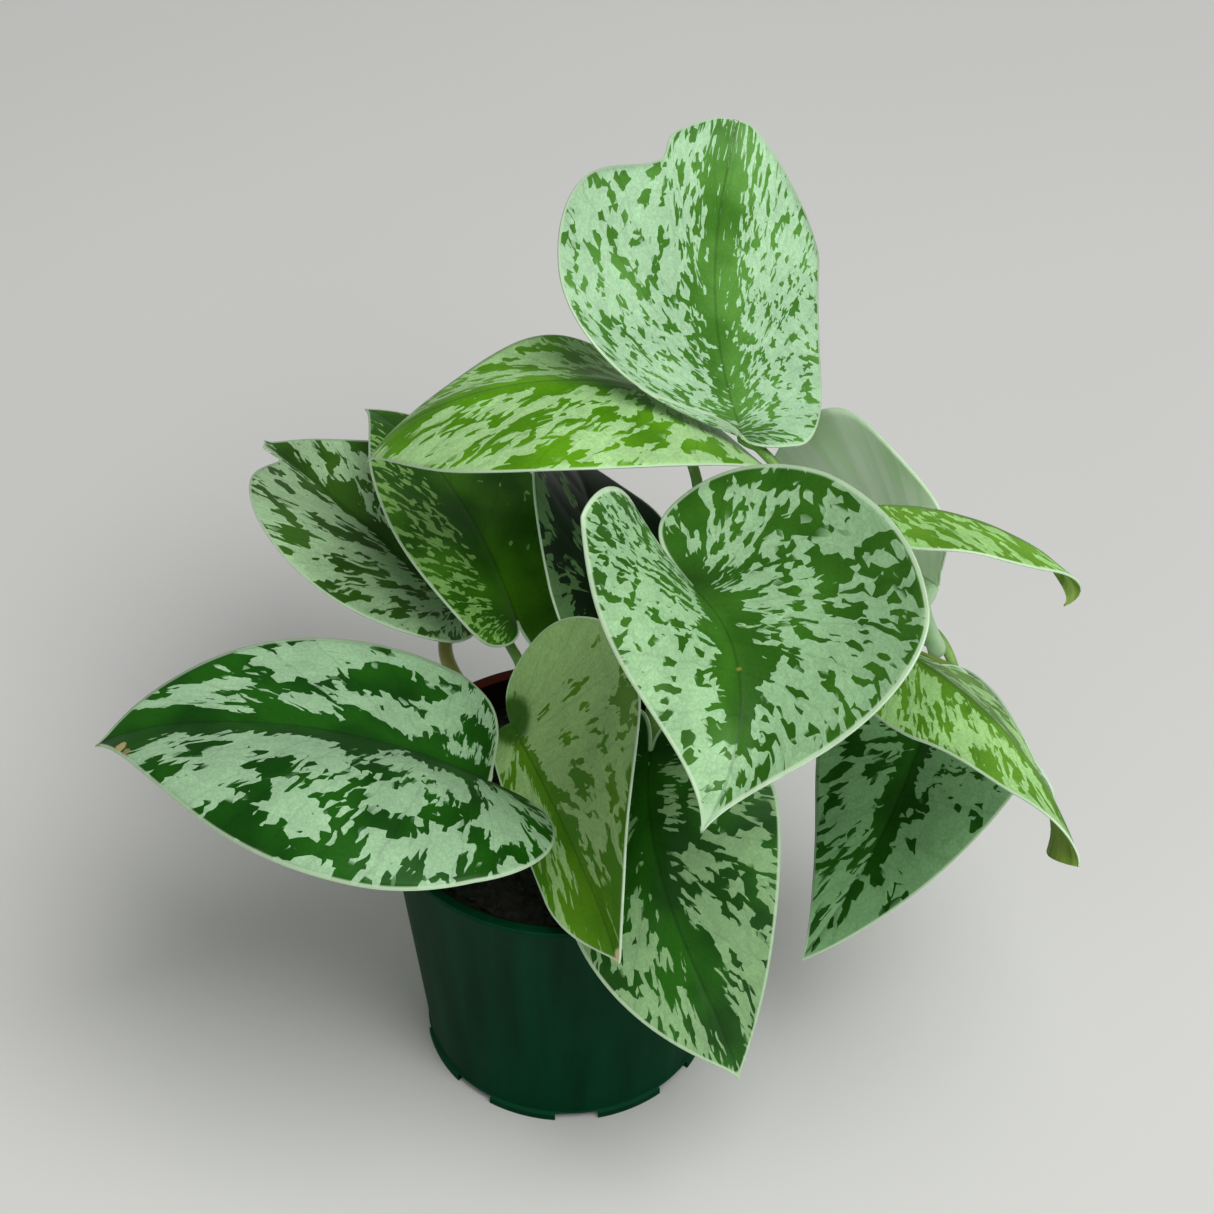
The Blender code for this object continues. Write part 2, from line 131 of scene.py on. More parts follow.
# Angles are in degrees and sizes in mm. Heading 0 is +X and 90 is +Y, and pairs go left and right as seen from above
# the upper face. heading, pitch and roll have their start at the base, their change towards the tip and what the last
# third adds. edges has, in shares of the length, how far the lobe reaches back, where the widest place is, how full
# the shoulder is and how blunt the tip is. fold and cup raise the two halves, foldTip more so at the tip, and softFold
# rounds the fold. silver is the share that the silver marks cover, with silverLean more on the left half, silverTip
# more at the tip and edgeGreen less at the margin, which is the pale edge. blotch is their size, cellLong and cellWide
# the smallest of them, streaks how far they are drawn out, and flecks how much small marks of fleckLong by fleckWide
# break them up. band is half the green band on the midrib, bandBase its strength at the base and bandEnd where it
# fades out. spots are dry or scarred places, and dark places of painted shade at the base: x, y, radius and colour.
leafBasics = {
    "point": 0.15, "foldTip": 0, "notch": 0, "notchAt": 0.8, "wave": 0.7, "softFold": 2, "margin": 0.8, "gloss": 0.2,
    "silverLean": 0, "silverTip": 0, "edgeGreen": 0, "streaks": 0.3, "flecks": 0.08, "fleckLong": 5, "fleckWide": 1.2,
    "bandBase": 1, "bandEnd": 1.1, "cellLong": 2.6, "cellWide": 1.3,
    "underTone": "A3C3A0", "underGreen": "86A870", "underVein": "8FB478", "spots": (),
}

leaves = {
    "topLeaf": {
        "node": "leaf_top", "seed": 3,
        "base": (50, 29.5, 210), "length": 119, "widths": (55.5, 34),
        "heading": (104, -29), "pitch": (3, 12, 31), "roll": (1, 14),
        "edges": ((-0.07, 0.33, 0.66, 0.08), (0.05, 0.72, 0.4, -0.03)), "point": -0.07,
        "fold": (21, 8), "foldTip": -11, "cup": (25, -37), "notch": 0.33, "notchAt": 0.757, "wave": 0.5,
        "silver": 0.76, "edgeGreen": 0.02, "blotch": 5, "streaks": 0, "flecks": 0.12, "fleckLong": 3.4,
        "fleckWide": 1.3, "band": 7, "bandBase": 0.45, "bandEnd": 1.18, "cellLong": 1.7,
        "greens": ("407822", "5C963C"), "silverTone": "B0DAAD",
    },
    "upperLeftLeaf": {
        "node": "leaf_upper_left", "seed": 11,
        "base": (38.5, 51.5, 199.5), "length": 112, "widths": (42, 34),
        "heading": (197, -22), "pitch": (49, -107, -6), "roll": (21, -17),
        "edges": ((0.13, 0.33, 0.52, 0), (0.08, 0.29, 0.39, 0)), "point": 0.09,
        "fold": (-4, -11), "foldTip": -10, "cup": (-4, 23), "wave": 0.4, "softFold": 2.5, "margin": 0.7,
        "silver": 0.56, "blotch": 9, "band": 3,
        # the dark spot at the base is painted shade in the sinus
        "greens": ("4E8A08", "64A610"), "silverTone": "B3E298", "spots": ((0, 2, 7, "3E6A12"),),
    },
    "frontHeartLeaf": {
        "node": "leaf_front_heart", "seed": 19,
        "base": (34, -32, 212.5), "length": 78, "widths": (54, 72),
        "heading": (-53, -72), "pitch": (0, -35, 20), "roll": (-42, 36),
        "edges": ((0.37, 0.41, 0.32, -0.31), (0.02, 0.19, 0.07, -0.18)), "point": 0.33,
        "fold": (31, 20), "foldTip": -17, "cup": (63, 6), "wave": 0.5, "softFold": 6, "margin": 1.4,
        "silver": 0.7, "silverLean": -0.01, "silverTip": 0.1, "edgeGreen": 0.06, "blotch": 5, "streaks": 0.45,
        "flecks": 0.13, "fleckLong": 6.5, "fleckWide": 1.1,
        "band": 7, "bandEnd": 0.82, "cellLong": 2.4, "cellWide": 1.1,
        "greens": ("295C0E", "3A721A"), "silverTone": "9EC896",
        "spots": ((0.3, 31, 0.8, "857A38"), (0, 78, 9, "AED0A6")),
    },
    "upperRightLeaf": {
        "node": "leaf_upper_right", "seed": 23,
        "base": (76.5, -3, 214), "length": 78, "widths": (25, 23.5),
        "heading": (-16, -2), "pitch": (25, -75, -81), "roll": (-29, -3, -91),
        "edges": ((0.16, 0.28, 0.35, -0.03), (0.02, 0.36, 0.34, -0.03)), "point": 0.29,
        "fold": (-24, -17), "foldTip": 11, "cup": (7, -2), "softFold": 1.5, "margin": 0.7,
        "silver": 0.44, "blotch": 6, "streaks": 0.55, "flecks": 0.1, "band": 1.6,
        "greens": ("5C911C", "70A62C"), "silverTone": "A9E086",
        "underTone": "86A83C", "underGreen": "5E8422", "underVein": "9CBC58",
    },
    "paleUndersideLeaf": {
        "node": "leaf_pale_underside", "seed": 31,
        "base": (105.5, 14, 167), "length": 72, "widths": (42, 32),
        "heading": (139, -15), "pitch": (14, -30, -13), "roll": (78, 6),
        "edges": ((-0.02, 0.4, 0.45, 0), (-0.05, 0.32, 0.45, 0)), "fold": (6, 0), "foldTip": 2, "cup": (1, -9),
        "softFold": 1.5, "silver": 0.6, "blotch": 12, "streaks": 0.4, "flecks": 0.06, "band": 4, "bandEnd": 1,
        "greens": ("2F6A16", "4C8A2C"), "silverTone": "A8CFA0",
        # the underside tones are its own pale grey-green raised near white with painted light
        "underTone": "EAFFE2", "underGreen": "DAFCCE", "underVein": "CAF4BC",
    },
    "lowerRightLeaf": {
        "node": "leaf_lower_right", "seed": 37,
        "base": (86.5, 3, 159.5), "length": 98, "widths": (29, 21),
        "heading": (-36, -42), "pitch": (4, -14, -21), "roll": (-6, -65, -50),
        "edges": ((-0.16, 0.22, 0.67, 0.37), (0.1, 0.36, 0.27, 0.37)), "point": 0.05,
        "fold": (-31, -38), "foldTip": 7, "cup": (15, -7), "softFold": 1.5,
        "silver": 0.52, "blotch": 8, "streaks": 0.75, "band": 1.6,
        "greens": ("4E8218", "669C2C"), "silverTone": "AADA8B",
        "underTone": "7C9A38", "underGreen": "5A7C20", "underVein": "8FAE4C",
    },
    "hangingRightLeaf": {
        "node": "leaf_hanging_right", "seed": 41,
        "base": (110.5, 29, 116.5), "length": 95, "widths": (62, 32),
        "heading": (-118, -16), "pitch": (-64, 44, -9), "roll": (22, -38),
        "edges": ((0.1, 0.12, -0.47, 0), (0.05, 0.26, 0.28, 0)), "point": 0.16,
        "fold": (24, 10), "foldTip": -17, "cup": (-12, 5),
        "silver": 0.72, "silverLean": 0.04, "silverTip": 0.08, "blotch": 7, "streaks": 0.35, "flecks": 0.11,
        "band": 4, "bandEnd": 0.85,
        "greens": ("1A4E0A", "286412"), "silverTone": "8FC488",
    },
    "lowLeftLeaf": {
        "node": "leaf_low_left", "seed": 47,
        "base": (-20.5, -23, 127.5), "length": 119, "widths": (55, 41),
        "heading": (170, 6), "pitch": (26, -49, -18), "roll": (26, -26),
        "edges": ((0.16, 0.22, 0.56, 0), (0, 0.13, 0.73, 0)), "point": 0.13,
        "fold": (18, 13), "foldTip": -7, "cup": (-67, 4), "wave": 0.5, "softFold": 2.5, "margin": 1.2,
        "silver": 0.55, "silverTip": -0.03, "edgeGreen": 0.05, "blotch": 12, "streaks": 0, "flecks": 0.09,
        "band": 5, "bandEnd": 1.2, "cellLong": 2.3, "cellWide": 1.7,
        "greens": ("0D4403", "1D5D09"), "silverTone": "A5CDA1",
        "spots": ((7, 107, 2.2, "C0AC78"), (10, 104.5, 1.4, "9C8450"), (2, 118, 2.4, "8E9A54")),
    },
    "foldedFrontLeaf": {
        "node": "leaf_front_folded", "seed": 53,
        "base": (-15.5, 4.5, 123), "length": 84, "widths": (53, 14),
        "heading": (-64, -7), "pitch": (-7, -7, -17), "roll": (17, 12),
        "edges": ((0.16, 0.4, 0.42, 0), (0.01, 0.68, 0.62, 0)), "point": 0.02,
        "fold": (34, -19), "foldTip": 23, "cup": (3, 6), "wave": 0.4, "margin": 0.7,
        "silver": 0.56, "silverTip": -0.3, "blotch": 11, "streaks": 0.4, "band": 2.6,
        "greens": ("417A08", "558812"), "silverTone": "9CC47B",
        # the dark spot at the base is painted shade in the sinus, and the pale one near the tip a dry place
        "spots": ((2, 83, 3.4, "E6D3A6"), (1, 0, 9, "2C5A0A")),
    },
    "hangingFrontLeaf": {
        "node": "leaf_front_hanging", "seed": 59,
        "base": (24.5, -18, 136), "length": 108, "widths": (36, 30),
        "heading": (-99, 89), "pitch": (-24, -56, -1), "roll": (19, 14),
        "edges": ((0.1, 0.2, 0.45, 0), (0.13, 0.31, 0.47, 0)), "point": 0.1,
        "fold": (-4, -18), "foldTip": 18, "cup": (-26, 8), "wave": 0.4, "margin": 1.2,
        "silver": 0.6, "silverTip": 0.1, "edgeGreen": 0.03, "blotch": 8.5, "streaks": 0.15, "flecks": 0.09,
        "band": 4, "cellLong": 2.3, "cellWide": 1.5,
        "greens": ("114403", "23600B"), "silverTone": "8AB27B", "spots": ((0, 108, 4.5, "B2CFA6"),),
    },
    "backLeftLeaf": {
        "node": "leaf_back_left", "seed": 61,
        "base": (-30, 59.5, 113), "length": 105, "widths": (44, 33),
        "heading": (138, -16), "pitch": (15, -29, -7), "roll": (11, -10),
        "edges": ((0.09, 0.28, 0.47, 0), (0.1, 0.34, 0.49, 0)), "point": 0.18,
        "fold": (29, 15), "foldTip": 7, "cup": (-25, 2), "notch": 0.65, "notchAt": 0.86,
        "silver": 0.6, "blotch": 8.5, "band": 3,
        "greens": ("2C550E", "3E6E18"), "silverTone": "B1D8A4",
    },
    "middleLeftLeaf": {
        "node": "leaf_middle_left", "seed": 67,
        "base": (-14, 40, 129), "length": 102, "widths": (31, 32),
        "heading": (110, 19), "pitch": (25, -38, -12), "roll": (27, -17),
        "edges": ((0.08, 0.31, 0.41, 0), (0.16, 0.32, 0.45, 0)), "point": 0.14,
        "fold": (9, 5), "foldTip": -7, "cup": (-6, 0),
        "silver": 0.03, "silverLean": 0.1, "edgeGreen": -0.06, "blotch": 3, "streaks": 0, "flecks": 0.13,
        "band": 6, "cellLong": 1.9, "cellWide": 1.4,
        "greens": ("2A6204", "468410"), "silverTone": "96CA6C",
    },
    "darkMiddleLeaf": {
        "node": "leaf_middle_dark", "seed": 71,
        "base": (11, 38.5, 137.5), "length": 74, "widths": (26, 26),
        "heading": (92, 17), "pitch": (27, -59, -4), "roll": (31, -3),
        "edges": ((0.21, 0.33, 0.46, 0), (0.16, 0.32, 0.45, 0)), "point": 0.16,
        "fold": (10, 5), "foldTip": -1, "cup": (11, 0), "margin": 0.6, "gloss": 0.08,
        "silver": 0.14, "silverLean": 0.1, "edgeGreen": -0.05, "blotch": 14, "streaks": 0.5, "flecks": 0.05,
        "band": 5,
        # its greens and silver are darker than the leaf's own dark green, with painted shade
        "greens": ("052004", "0A2C07"), "silverTone": "587E4C",
    },
}

# veinSpan is the reach of the vein map in blade lengths. softStart and grooveFade shape how the fold softens and the
# groove fades along the midrib, and quiltMiddle is the height that the swelling between the veins goes up and down by.
blade = {
    "thickness": 0.6, "rows": 150, "columns": 22, "weld": 0.004, "edgeSteps": 300,
    "ribSteps": 40, "hookStart": 0.7, "veinFan": 3.4, "veinCurve": 1.3, "veinSpan": 1.25,
    "waveCount": 3.5, "notchBreadth": 0.05, "lobeShare": 0.25, "lobeOut": 0.4, "bellyShare": 0.55,
    "softStart": 0.3, "grooveDepth": 0.45, "grooveWidth": 1.3, "grooveFade": 0.3,
    "quiltDepth": 0.16, "quiltPitch": 7.5, "quiltMiddle": 0.6, "roughDepth": 0.35, "roughSize": 22,
}


def hump(place, middle, height, breadth):
    # a soft rise round the middle
    return height * math.exp(-(((place - middle) / breadth) ** 2))


def margin(leaf, t, half):
    # the flat edge of the left half, 0, or the right, 1, from the sinus at t = 0 round the lobe to the tip
    lobe, belly, shoulder, blunt = leaf["edges"][half]
    lobeShare, lobeOut, bellyShare = blade["lobeShare"], blade["lobeOut"], blade["bellyShare"]
    if t < lobeShare:
        s = t / lobeShare
        along = bezier(0.0, -0.5 * lobe, -lobe, -lobe, s)
        out = bezier(0.0, 0.02, 0.10, lobeOut, s)
    elif t < bellyShare:
        s = (t - lobeShare) / (bellyShare - lobeShare)
        along = bezier(-lobe, -lobe, belly - 0.5 * (belly + lobe), belly, s)
        out = bezier(lobeOut, 0.75, 1.0, 1.0, s)
    else:
        s = (t - bellyShare) / (1 - bellyShare)
        along = bezier(belly, belly + shoulder * (1 - belly), 1 - leaf["point"], 1.0, s)
        out = bezier(1.0, 1.0, 1.1 * leaf["point"] + blunt, 0.0, s)
    if half == 0:
        out *= 1 - hump(t, leaf["notchAt"], leaf["notch"], blade["notchBreadth"])
    return along, out


def ribFrame(leaf, share):
    # unit vectors along the rib, to its left and up from the upper face
    terms = (1, share, (max(0.0, share - blade["hookStart"]) / (1 - blade["hookStart"])) ** 2)
    heading, pitch, roll = [math.radians(sum(angle * term for angle, term in zip(leaf[key], terms)))
                            for key in ("heading", "pitch", "roll")]
    along = Vector((math.cos(pitch) * math.cos(heading), math.cos(pitch) * math.sin(heading), math.sin(pitch)))
    level = Vector((-math.sin(heading), math.cos(heading), 0))
    upright = along.cross(level)
    across = level * math.cos(roll) + upright * math.sin(roll)
    return along, across, upright * math.cos(roll) - level * math.sin(roll)


def ribPoints(leaf):
    spot = Vector(leaf["base"])
    points = [spot.copy()]
    for step in range(blade["ribSteps"]):
        along, _, _ = ribFrame(leaf, (step + 0.5) / blade["ribSteps"])
        spot = spot + along * (leaf["length"] / blade["ribSteps"])
        points.append(spot.copy())
    return points


def onRib(rib, share):
    place = min(max(share, 0.0), 1.0) * blade["ribSteps"]
    step = min(int(place), blade["ribSteps"] - 1)
    return rib[step].lerp(rib[step + 1], place - step)


def flatPoint(leaf, t, share):
    # where a grid point lies on the flattened blade: along and out as shares, how far out of its row, and its half
    half = int(share < 0)
    part = abs(share)
    edgeAlong, edgeOut = margin(leaf, t, half)
    start = t ** blade["veinFan"]
    return start + (edgeAlong - start) * part ** blade["veinCurve"], edgeOut * part, part, half


def sideOffset(leaf, held, half, reach):
    # how far out and up a half of the blade has gone, reach mm from the rib, before any relief
    cup = leaf["cup"][half] * reach / leaf["widths"][half] / 2
    tilt = math.radians(leaf["fold"][half] + leaf["foldTip"] * held + cup)
    return Vector((reach * math.cos(tilt), reach * math.sin(tilt)))


def bladePoint(leaf, rib, t, share):
    alongShare, outShare, part, half = flatPoint(leaf, t, share)
    held = min(max(alongShare, 0.0), 1.0)
    along, across, normal = ribFrame(leaf, held)
    centre = onRib(rib, held) + along * (min(alongShare, 0.0) * leaf["length"])
    reach = outShare * leaf["widths"][half]
    soft = leaf["softFold"] * min(1, max(alongShare, 0) / blade["softStart"])
    if reach < soft:
        # the fold at the rib is a short curve from one half of the blade to the other
        ownEnd, otherEnd = sideOffset(leaf, held, half, soft), sideOffset(leaf, held, 1 - half, soft)
        w = 0.5 + 0.5 * reach / soft
        out = ownEnd.x * w * w - otherEnd.x * (1 - w) ** 2
        lift = ownEnd.y * w * w + otherEnd.y * (1 - w) ** 2
    else:
        out, lift = sideOffset(leaf, held, half, reach)
    wave = leaf["wave"] * part**2 * math.sin(2 * math.pi * blade["waveCount"] * t) * math.sin(math.pi * t)
    # the midrib lies in a groove, and the blade swells between its side veins
    groove = hump(reach, 0, blade["grooveDepth"], blade["grooveWidth"]) * (1 - held) ** blade["grooveFade"]
    swell = abs(math.sin(math.pi * t * blade["veinSpan"] * leaf["length"] / blade["quiltPitch"]))
    quilt = blade["quiltDepth"] * (swell - blade["quiltMiddle"]) * math.sin(math.pi * min(part, 1.0)) * min(1, 4 * t)
    lump = Vector((reach / blade["roughSize"], alongShare * leaf["length"] / blade["roughSize"], leaf["seed"]))
    rough = blade["roughDepth"] * noise.noise(lump) * part
    outward = -across if half else across
    return centre + outward * out + normal * (lift + wave - groove + quilt + rough)


def leafBlade(name):
    leaf = {**leafBasics, **leaves[name]}
    length = leaf["length"]
    rib = ribPoints(leaf)
    edgeSteps = blade["edgeSteps"]
    edge = kdtree.KDTree(2 * edgeSteps + 2)
    for index in range(edgeSteps + 1):
        for half, side in enumerate((1, -1)):
            along, out = margin(leaf, index / edgeSteps, half)
            edge.insert((out * leaf["widths"][half] * side, along * length, 0), 2 * index + half)
    edge.balance()

    shape = bmesh.new()
    bmesh.ops.create_grid(shape, x_segments=2 * blade["columns"], y_segments=blade["rows"], size=1)
    layers = [shape.loops.layers.uv.new(layer) for layer in ("veinMap", "leafMap", "edgeMap")]
    places = {}
    for vert in shape.verts:
        t, share = (vert.co.y + 1) / 2, -vert.co.x
        alongShare, outShare, part, half = flatPoint(leaf, t, share)
        side = -1 if half else 1
        width = leaf["widths"][half]
        reach = side * outShare * width
        height = alongShare * length
        edgeAlong, edgeOut = margin(leaf, t, half)
        veinLength = math.hypot(edgeOut * width, edgeAlong * length - t ** blade["veinFan"] * length)
        _, _, toEdge = edge.find((reach, height, 0))
        places[vert] = (
            Vector((side * part * veinLength, t * blade["veinSpan"] * length)) / mapUnit,
            Vector((reach, height)) / mapUnit,
            Vector((toEdge / mapUnit, alongShare)),
        )
        vert.co = bladePoint(leaf, rib, t, share) * mm
    for face in shape.faces:
        for loop in face.loops:
            for layer, place in zip(layers, places[loop.vert]):
                loop[layer].uv = place
    bmesh.ops.remove_doubles(shape, verts=shape.verts, dist=blade["weld"] * mm)
    piece = objectFrom(name, shape)
    for surface in (upperSurface(name, leaf), underSurface(name, leaf), rimSurface):
        piece.data.materials.append(surface)
    skin = piece.modifiers.new("thickness", "SOLIDIFY")
    skin.thickness = blade["thickness"] * mm
    skin.offset = 0
    skin.material_offset = 1
    skin.material_offset_rim = 2
    shadeSmooth(piece, 60)
    finishPiece(piece, leaf["node"])


# The silver of a satin pothos is air under the skin of whole cells between the fine veins, so its marks have torn,
# stepped edges and run along the side veins. Sizes are in mm; torn, drawn, share and pull have no unit, the band's
# near and far are in half bands, and its rise and fade in shares of the length.
marks = {
    "streakLong": 26, "streakWide": 4.0, "grainLong": 1.5, "grainWide": 0.8, "torn": 0.94, "bend": 2.4,
    "bendSize": 7, "speckSize": 1.1, "cloudSize": 24, "leanWidth": 8, "edgeNear": 3, "edgeFar": 9,
    "drawn": 0.6, "share": 0.36, "pull": -0.34, "bandNear": 0.3, "bandFar": 1.6, "bandRise": 0.3, "bandFade": 0.35,
    "ribNear": 0.2, "ribFar": 0.7, "baseReach": 14, "underLong": 22, "underWide": 3, "marginTone": "C0DCB6",
}


def mapScale(long, wide):
    # a UV map's scale for marks of long by wide mm
    return mapUnit / long, mapUnit / wide, 1


def veinPlaces(tree, flat, veins):
    # how far a point is from the midrib, and from the nearest side vein
    fromRib = addNode(tree, "Math", {"operation": "ABSOLUTE"}, addNode(tree, "SeparateXYZ", {}, flat))
    veinCount = addNode(tree, "Math", {"operation": "MULTIPLY", 1: mapUnit / blade["quiltPitch"]},
                        addNode(tree, "SeparateXYZ", {}, veins).outputs["Y"])
    return fromRib, addNode(tree, "Math", {"operation": "PINGPONG", 1: 0.5}, veinCount)


def upperSurface(name, leaf):
    made, tree, shader = newMaterial(name + " satin variegated blade")
    seed, length = leaf["seed"], leaf["length"] / mapUnit
    cellLong, cellWide = leaf["cellLong"], leaf["cellWide"]
    veins, flat, edge = [addNode(tree, "UVMap", {"uv_map": layer}) for layer in ("veinMap", "leafMap", "edgeMap")]
    fromEdge = addNode(tree, "SeparateXYZ", {}, edge)
    flatParts = addNode(tree, "SeparateXYZ", {}, flat)
    height = flatParts.outputs["Y"]

    # the vein space is bent a little, so that no mark runs dead straight
    bend = addNode(tree, "TexNoise", {**planar, "Scale": mapUnit / marks["bendSize"], "Detail": 2.0}, veins)
    bendCentred = addNode(tree, "VectorMath", {"operation": "SUBTRACT", 1: (0.5, 0.5, 0.5)}, bend.outputs["Color"])
    bendScaled = addNode(tree, "VectorMath", {"operation": "SCALE", "Scale": marks["bend"] / mapUnit}, bendCentred)
    bent = addNode(tree, "VectorMath", {"operation": "ADD"}, (veins, bendScaled))

    # cells between the fine veins, each all silver or all green
    cellSpace = addNode(tree, "Mapping", {"Scale": mapScale(cellLong, cellWide)}, bent)
    cells = addNode(tree, "TexVoronoi", {"voronoi_dimensions": "2D", "Scale": 1.0}, cellSpace)
    sample = addNode(tree, "Mix", {"data_type": "VECTOR", 0: marks["torn"]},
                     {4: cellSpace, 5: cells.outputs["Position"]})
    noises = []
    for shift, long, wide, detail, roughness in (
        ((seed, 1.7 * seed, 0), leaf["blotch"], leaf["blotch"], 2.0, 0.55),
        ((0.4 * seed, 5, 0), marks["streakLong"], marks["streakWide"], 1.0, 0.5),
    ):
        space = addNode(tree, "Mapping", {"Location": shift, "Scale": (cellLong / long, cellWide / wide, 1)}, sample)
        noises.append(addNode(tree, "TexNoise", {**planar, "Scale": 1.0, "Detail": detail, "Roughness": roughness},
                              space))
    pattern = addNode(tree, "Mix", {0: marks["drawn"] * leaf["streaks"]}, {2: noises[0], 3: noises[1]})

    # how much silver there is: more on one half or towards the tip, less near the margin, none along the midrib
    lean, tip = leaf["silverLean"], leaf["silverTip"] / 2
    leanWidth = marks["leanWidth"] / mapUnit
    leaned = addNode(tree, "MapRange", {"span": (-leanWidth, leanWidth, -lean, lean)}, flatParts)
    tipped = addNode(tree, "MapRange", {"span": (0.0, length, -tip, tip)}, height)
    near, far = marks["edgeNear"] / mapUnit, marks["edgeFar"] / mapUnit
    ringed = addNode(tree, "MapRange", {**smooth, "span": (near, far, -leaf["edgeGreen"], 0.0)}, fromEdge)
    fromRib, fromVein = veinPlaces(tree, flat, bent)
    cellReach, veinReach = [addNode(tree, "Math", {"operation": "ABSOLUTE"}, addNode(tree, "SeparateXYZ", {}, place))
                            for place in (sample, bent)]
    veinSafe = addNode(tree, "Math", {"operation": "MAXIMUM", 1: 0.2 / mapUnit}, veinReach)
    slant = addNode(tree, "Math", {"operation": "DIVIDE", "use_clamp": True}, (fromRib, veinSafe))
    cellFromRib = addNode(tree, "Math", {"operation": "MULTIPLY"}, (cellReach, slant))
    near, far = [marks[limit] * leaf["band"] / cellLong for limit in ("bandNear", "bandFar")]
    bandPull = addNode(tree, "MapRange", {"span": (near, far, marks["pull"], 0.0)}, cellFromRib)
    end = leaf["bandEnd"]
    rise, start, end = [share * length for share in (marks["bandRise"], end - marks["bandFade"], end)]
    bandFade = addNode(tree, "MapRange", {**smooth, "span": (start, end, 1.0, 0.0)}, height)
    band = addNode(tree, "MapRange", {**smooth, "span": (0.0, rise, leaf["bandBase"], 1.0)}, height)
    for part in (bandFade, bandPull):
        band = addNode(tree, "Math", {"operation": "MULTIPLY"}, (band, part))

    # short flecks along the veins break both colours
    fleckScale = mapScale(leaf["fleckLong"], leaf["fleckWide"])
    fleckSpace = addNode(tree, "Mapping", {"Location": (2.3 * seed, seed, 0), "Scale": fleckScale}, bent)
    flecks = addNode(tree, "TexVoronoi", {"voronoi_dimensions": "2D", "Scale": 1.0}, fleckSpace)
    fleckPush = addNode(tree, "MapRange", {"To Min": -leaf["flecks"], "To Max": leaf["flecks"]},
                        addNode(tree, "SeparateColor", {}, flecks.outputs["Color"]))
    marked = addNode(tree, "Math", {"operation": "ADD", 1: (leaf["silver"] - 0.5) * marks["share"]}, pattern)
    for part in (leaned, tipped, ringed, band, fleckPush):
        marked = addNode(tree, "Math", {"operation": "ADD"}, (marked, part))
    silver = addNode(tree, "MapRange", {**smooth, "span": (0.492, 0.508)}, marked)

    # the skin's own cells give the silver a fine net and a slight play of tone
    grainSpace = addNode(tree, "Mapping", {"Scale": mapScale(marks["grainLong"], marks["grainWide"])}, bent)
    grain = addNode(tree, "TexVoronoi", {"voronoi_dimensions": "2D", "feature": "DISTANCE_TO_EDGE", "Scale": 1.0},
                    grainSpace)
    silverPlay = addNode(tree, "MapRange", {"span": (0.0, 0.14, 0.88, 1.0)}, grain)
    speckle = addNode(tree, "TexNoise",
                      {**planar, "Scale": mapUnit / marks["speckSize"], "Detail": 3.0, "Roughness": 0.7}, flat)
    speckled = addNode(tree, "MapRange", {"span": (0.3, 0.7, 0.9, 1.08)}, speckle)
    clouds = addNode(tree, "TexNoise", {**planar, "Scale": mapUnit / marks["cloudSize"], "Detail": 2.0}, flat)
    cloudy = addNode(tree, "MapRange", {"span": (0.3, 0.7, 0.9, 1.06)}, clouds)
    cellParts = addNode(tree, "SeparateColor", {}, cells.outputs["Color"])
    cellTone = addNode(tree, "MapRange", {"To Min": 0.9, "To Max": 1.05}, cellParts.outputs[1])
    for part in (cellTone, speckled, cloudy):
        silverPlay = addNode(tree, "Math", {"operation": "MULTIPLY"}, (silverPlay, part))
    silverLit = addNode(tree, "VectorMath", {"operation": "SCALE", 0: linearColour(leaf["silverTone"])[:3]},
                        {"Scale": silverPlay})
    greens = addNode(tree, "ValToRGB", {"stops": ((0.36, leaf["greens"][0]), (0.64, leaf["greens"][1]))}, clouds)
    greenLit = addNode(tree, "VectorMath", {"operation": "SCALE"}, {0: greens, "Scale": speckled})
    marking = addNode(tree, "Mix", {"data_type": "RGBA"}, {0: silver, 6: greenLit, 7: silverLit})

    # a thin dark line runs down the midrib, the side veins show faintly and the base is darker with painted shade
    shades = addNode(tree, "MapRange",
                     {**smooth, "span": (marks["ribNear"] / mapUnit, marks["ribFar"] / mapUnit, 0.72, 1.0)}, fromRib)
    veinLine = addNode(tree, "MapRange", {**smooth, "span": (0.0, 0.06, 0.88, 1.0)}, fromVein)
    fromBase = addNode(tree, "VectorMath", {"operation": "LENGTH"}, flat)
    basePaintedShade = addNode(tree, "MapRange", {**smooth, "span": (0.0, marks["baseReach"] / mapUnit, 0.6, 1.0)}, fromBase)
    for part in (veinLine, basePaintedShade):
        shades = addNode(tree, "Math", {"operation": "MULTIPLY"}, (shades, part))
    lined = addNode(tree, "VectorMath", {"operation": "SCALE"}, {0: marking, "Scale": shades})

    # the pale margin
    edgeWidth = leaf["margin"] / mapUnit
    edgeMix = addNode(tree, "MapRange", {**smooth, "span": (0.45 * edgeWidth, edgeWidth, 0.9, 0.0)}, fromEdge)
    colour = addNode(tree, "Mix", {"data_type": "RGBA", 7: linearColour(marks["marginTone"])}, {0: edgeMix, 6: lined})
    colour = addSpots(tree, colour, flat, leaf["spots"])

    rough = addNode(tree, "MapRange", {"To Min": 0.4, "To Max": 0.5}, silver)
    bump = addNode(tree, "Bump", {"Strength": 0.25, "Distance": 0.06 * mm}, {"Height": grain})
    veinBump = addNode(tree, "Bump", {"Strength": 0.4, "Distance": 0.15 * mm}, {"Height": veinLine, "Normal": bump})
    setNode(tree, shader, {"IOR": 1.45, "Specular IOR Level": leaf["gloss"]},
            {"Base Color": colour, "Roughness": rough, "Normal": veinBump})
    return made


